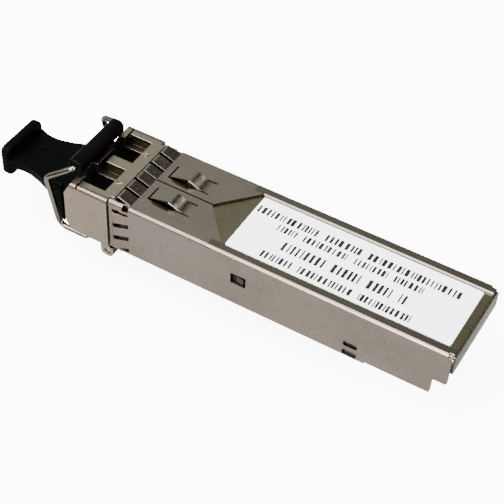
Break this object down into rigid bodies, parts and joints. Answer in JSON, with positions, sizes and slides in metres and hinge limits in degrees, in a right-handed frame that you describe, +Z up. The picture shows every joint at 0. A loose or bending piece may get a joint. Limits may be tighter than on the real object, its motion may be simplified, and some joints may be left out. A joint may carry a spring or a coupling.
{
  "type": "optical transceiver module",
  "caption": "Slim pluggable metal module with twin fibre ports, a swinging wire bail latch, a rubber dust plug and a card-edge connector at the rear.",
  "frame": {"origin": "on the latch boss's stop face, on the middle plane, level with the underside of the metal shell", "axes": "+X across the module (receive side), +Y from the ports towards the card-edge connector, +Z up through the label"},
  "size_m": [0.0148, 0.0685, 0.0127],
  "materials": {
    "nickel_sheet": "satin nickel-plated sheet",
    "nickel_casting": "satin nickel-plated die casting",
    "lid_sheet": "satin nickel-plated sheet, slightly darker",
    "label_paper": "white coated polyester label",
    "bail_steel": "nickel-plated bent wire",
    "black_rubber": "matte black moulded sleeve",
    "latch_steel": "satin pressed steel",
    "pin_steel": "ground pin",
    "spring_steel": "thin spring strip",
    "plug_rubber": "matte black moulded rubber",
    "optic_resin": "moulded amber optical resin",
    "zirconia": "polished split sleeve",
    "can_steel": "plated metal can",
    "gold_leads": "gold-plated leads",
    "flex_film": "amber polyimide film",
    "clamp_steel": "satin bar",
    "board_green": "solder-masked laminate",
    "contact_gold": "gold-plated pads",
    "chip_black": "moulded chip package",
    "chip_tan": "fired ceramic chips",
    "ferrite": "wound ferrite coils",
    "thermal_grey": "soft thermal pad",
    "carrier_plastic": "moulded board carrier"
  },
  "bodies": {
    "housing": {"shell": "nickel_sheet", "nose": "nickel_casting", "lid": "lid_sheet", "label": "label_paper", "latch_pin": "pin_steel", "latch_spring": "spring_steel", "tx_barrel": "optic_resin", "tx_ceramic_sleeve": "zirconia", "tx_can": "can_steel", "tx_leads": "gold_leads", "tx_flex": "flex_film", "rx_barrel": "optic_resin", "rx_ceramic_sleeve": "zirconia", "rx_can": "can_steel", "rx_leads": "gold_leads", "rx_flex": "flex_film", "optics_clamp": "clamp_steel", "circuit_board": "board_green", "edge_contacts": "contact_gold", "laser_driver": "chip_black", "receiver_amplifier": "chip_black", "controller_chip": "chip_black", "capacitors_and_resistors": "chip_tan", "filter_coils": "ferrite", "thermal_pad": "thermal_grey", "board_carrier": "carrier_plastic"},
    "bail": {"bail_wire": "bail_steel", "bail_sleeve": "black_rubber"},
    "latch": {"latch_lever": "latch_steel"},
    "plug": {"dust_plug": "plug_rubber"}
  },
  "joints": [
    {"name": "bail_swing", "type": "hinge", "parent": "housing", "child": "bail", "pos_m": [0, -0.0074, -0.00005], "axis": [1, 0, 0], "range_deg": [0, 90]},
    {"name": "latch_tilt", "type": "hinge", "parent": "housing", "child": "latch", "pos_m": [0, -0.0041, -0.00075], "axis": [1, 0, 0], "range_deg": [0, 8], "stiffness_Nm_per_rad": 0.002, "springref_deg": -1.72, "deforming": ["latch_spring"]},
    {"name": "dust_plug_pull", "type": "slide", "parent": "housing", "child": "plug", "axis": [0, -1, 0], "range_m": [0, 0.04]}
  ],
  "couplings": [
    {"joint": "bail_swing", "follows": "dust_plug_pull", "rad_per_m": 39.2},
    {"joint": "latch_tilt", "follows": "dust_plug_pull", "rad_per_m": 3.48}
  ]
}
